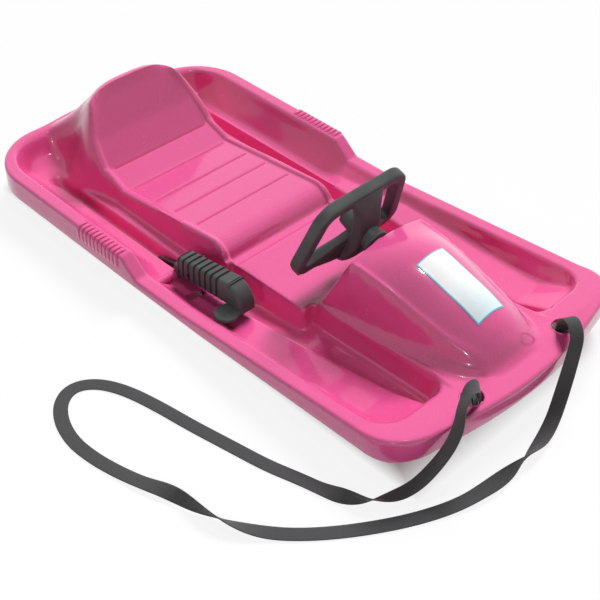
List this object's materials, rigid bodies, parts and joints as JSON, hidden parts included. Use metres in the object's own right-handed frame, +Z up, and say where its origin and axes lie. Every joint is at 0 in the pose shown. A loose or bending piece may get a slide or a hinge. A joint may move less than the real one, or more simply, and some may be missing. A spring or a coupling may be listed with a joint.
{
  "type": "steering sled",
  "caption": "Child's moulded steering sled with foot troughs, a contoured seat and backrest, a cowl with a wheel that turns a front skid, a ribbed hand brake and a tow strap.",
  "frame": {"origin": "middle of the sled's box without its tow strap, on the ground", "axes": "+X to the nose, +Y to the rider's left, +Z up"},
  "size_m": [0.9457, 0.6816, 0.1991],
  "materials": {
    "shell": "glossy, faintly pearly moulding",
    "dark_plastic": "satin moulding",
    "bearing_plastic": "plain moulding",
    "steel": "zinc plated",
    "webbing": "woven",
    "label": "blank printed film"
  },
  "bodies": {
    "shell": {"hull": "shell", "blank_label": "label", "strap_stops": "dark_plastic", "axle_spacers": "shell", "upper_column_bush": "bearing_plastic", "lower_column_bush": "bearing_plastic", "column_bracket": "steel", "bracket_screws": "steel", "kingpin": "steel", "kingpin_washers": "steel", "kingpin_nut": "steel", "brake_axle": "steel", "axle_caps": "steel", "tow_strap": "webbing"},
    "steering": {"steering_wheel": "dark_plastic", "wheel_screw": "steel", "steering_column": "steel", "crank_ball": "bearing_plastic", "column_clip": "steel"},
    "skid": {"steering_skid": "dark_plastic", "kingpin_bush": "bearing_plastic"},
    "brake": {"brake_lever": "dark_plastic", "brake_claw": "steel", "claw_rivets": "steel"}
  },
  "joints": [
    {"name": "wheel_turn", "type": "hinge", "parent": "shell", "child": "steering", "pos_m": [0.124, 0, 0.137], "axis": [0.9511, 0, -0.309], "range_deg": [-35, 35]},
    {"name": "skid_turn", "type": "hinge", "parent": "shell", "child": "skid", "pos_m": [0.3123, 0, 0.04], "axis": [0, 0, 1], "range_deg": [-23, 23]},
    {"name": "brake_lift", "type": "hinge", "parent": "shell", "child": "brake", "pos_m": [-0.055, -0.158, 0.028], "axis": [0, -1, 0], "range_deg": [0, 30]}
  ],
  "couplings": [
    {"joint": "skid_turn", "follows": "wheel_turn", "ratio": -0.655}
  ]
}
